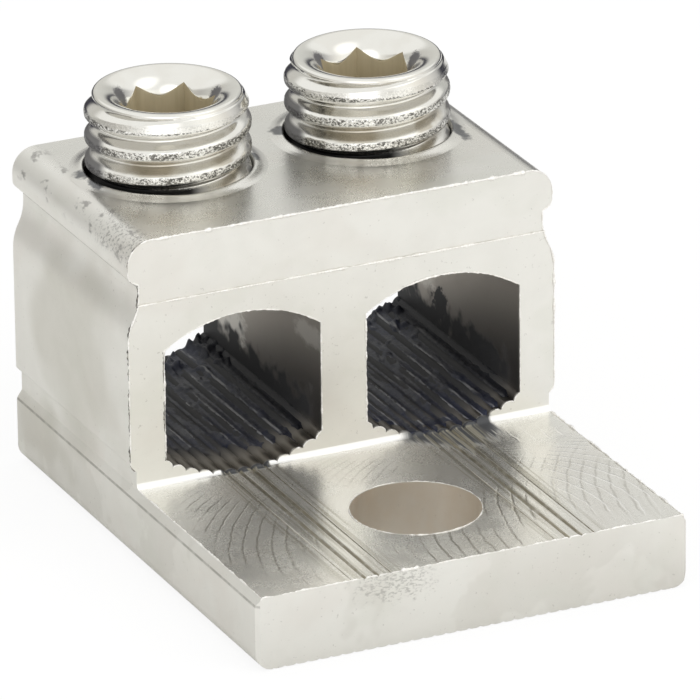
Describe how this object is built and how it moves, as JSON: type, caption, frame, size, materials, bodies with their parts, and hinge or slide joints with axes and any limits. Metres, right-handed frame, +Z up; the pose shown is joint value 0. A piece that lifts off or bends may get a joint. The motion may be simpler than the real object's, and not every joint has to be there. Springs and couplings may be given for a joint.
{
  "type": "two-barrel cable lug",
  "caption": "Extruded aluminium cable lug: side-by-side barrels with ridged floors, a milled tongue with a stud hole, and hexagon-socket set screws that clamp the cables.",
  "frame": {"origin": "where the axis of the stud hole meets the underside of the tongue", "axes": "+Z up along the stud hole, away from the surface that the lug is bolted to; +Y from the tongue to the barrels; +X across the barrels, to the right when seen from the tongue"},
  "size_m": [0.035, 0.0439, 0.0316],
  "materials": {
    "body": "satin",
    "screws": "polished"
  },
  "bodies": {
    "body": {"lug_body": "body"},
    "left_screw": {"set_screw_left": "screws"},
    "right_screw": {"set_screw_right": "screws"}
  },
  "joints": [
    {"name": "left_screw_travel", "type": "slide", "parent": "body", "child": "left_screw", "axis": [0, 0, 1], "range_m": [-0.0089, 0.0028]},
    {"name": "right_screw_travel", "type": "slide", "parent": "body", "child": "right_screw", "axis": [0, 0, 1], "range_m": [-0.0089, 0.0028]}
  ]
}
